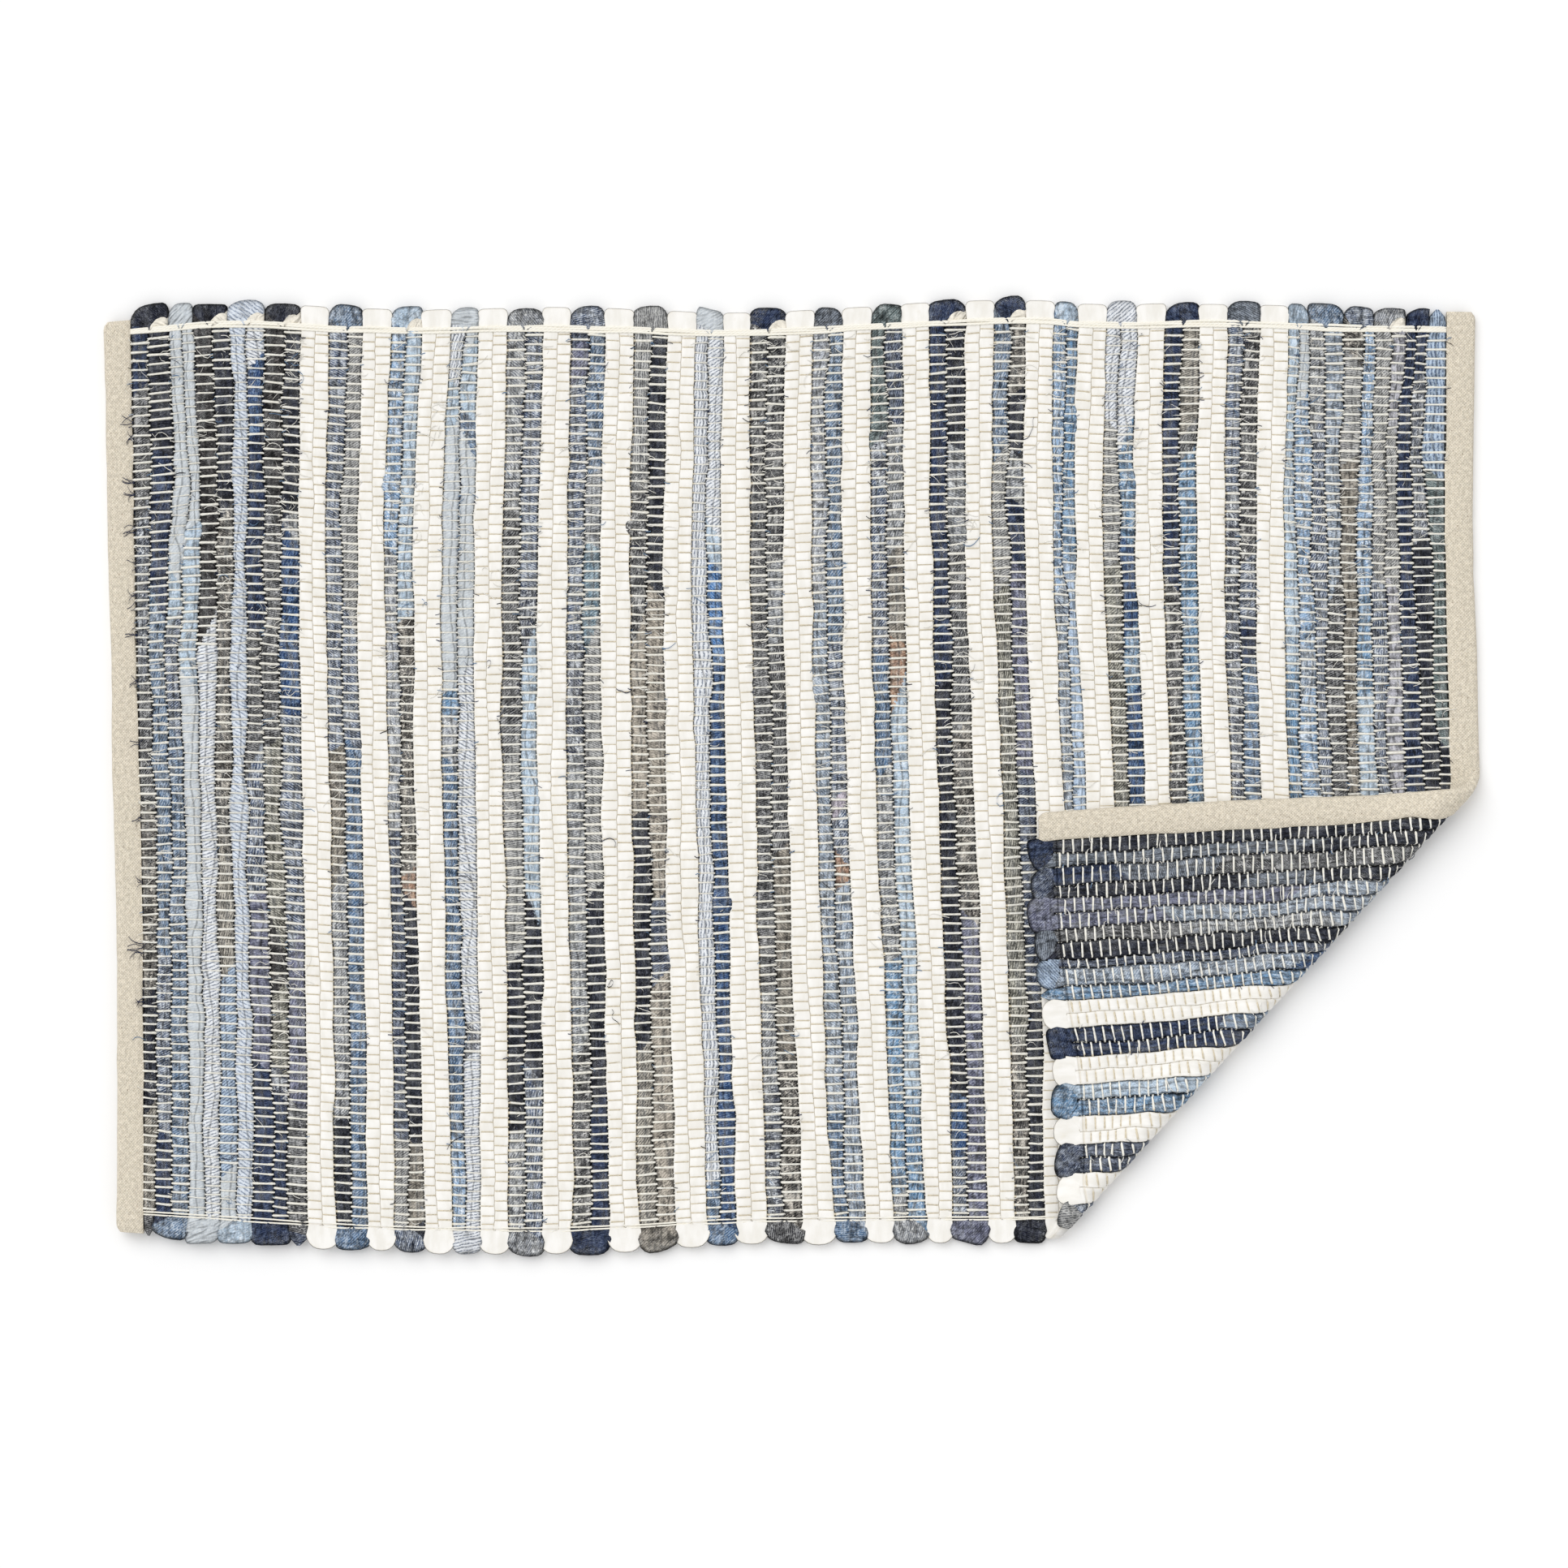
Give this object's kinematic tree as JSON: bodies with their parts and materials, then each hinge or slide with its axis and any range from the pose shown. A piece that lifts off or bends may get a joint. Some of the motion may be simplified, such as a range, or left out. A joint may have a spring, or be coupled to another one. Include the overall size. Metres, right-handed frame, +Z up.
{
  "type": "rag rug",
  "caption": "Flat-woven rag rug of denim and white cotton strips with canvas bindings, lying flat with one corner folded over",
  "frame": {"origin": "on the ground under the middle of the rug's outline as it lies", "axes": "+X along the rug from the left binding to the right one, +Y along the picks towards the far selvedge, +Z up"},
  "size_m": [0.9173, 0.6376, 0.0285],
  "materials": {
    "rag_weave": "strips of worn denim and white cotton, plain-woven on a cream cotton warp, matt",
    "canvas": "unbleached basket-weave cotton canvas with dark seed flecks, matt"
  },
  "bodies": {
    "root": {"woven_field": "rag_weave", "binding_left": "canvas", "binding_right": "canvas"}
  },
  "joints": []
}
